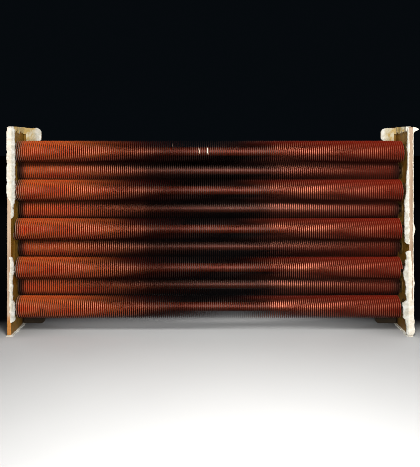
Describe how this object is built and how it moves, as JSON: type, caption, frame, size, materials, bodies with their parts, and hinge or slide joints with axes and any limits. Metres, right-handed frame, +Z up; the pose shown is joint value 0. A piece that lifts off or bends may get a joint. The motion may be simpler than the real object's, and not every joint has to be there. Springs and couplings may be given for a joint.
{
  "type": "finned tube radiator core",
  "caption": "Radiator core of staggered copper tubes with spirally wound fins, held in grommets between two upright end boards.",
  "frame": {"origin": "on the ground, midway between the end boards and halfway through their depth", "axes": "+X along the tubes to the viewer's right, +Y from the front face to the back, +Z up"},
  "size_m": [0.464, 0.0506, 0.2358],
  "materials": {
    "board": "brown fibreboard with a golden varnish, worn at the edges",
    "batten": "the same brown fibreboard, cut thicker",
    "pins": "dull steel",
    "grommet": "old black rubber, hardened",
    "tube": "copper, browned",
    "fin": "copper, orange-red with dark oxide between the turns",
    "foam": "cream rigid foam sealant, torn and flaking"
  },
  "bodies": {
    "root": {"left_end_board": "board", "left_rear_batten": "batten", "left_panel_pins": "pins", "left_grommets": "grommet", "right_end_board": "board", "right_rear_batten": "batten", "right_panel_pins": "pins", "right_grommets": "grommet", "tube_front_1": "tube", "tube_front_2": "tube", "tube_front_3": "tube", "tube_front_4": "tube", "tube_front_5": "tube", "tube_rear_1": "tube", "tube_rear_2": "tube", "tube_rear_3": "tube", "tube_rear_4": "tube", "fins_front_1": "fin", "fins_front_2": "fin", "fins_front_3": "fin", "fins_front_4": "fin", "fins_front_5": "fin", "fins_rear_1": "fin", "fins_rear_2": "fin", "fins_rear_3": "fin", "fins_rear_4": "fin", "left_front_seal_upper": "foam", "left_front_seal_lower": "foam", "right_front_seal_upper": "foam", "right_front_seal_lower": "foam", "right_outer_seal": "foam", "left_top_seal": "foam", "right_top_seal": "foam", "left_lug_seal": "foam", "right_lug_seal": "foam", "left_base_seal": "foam", "right_base_seal": "foam"}
  },
  "joints": []
}
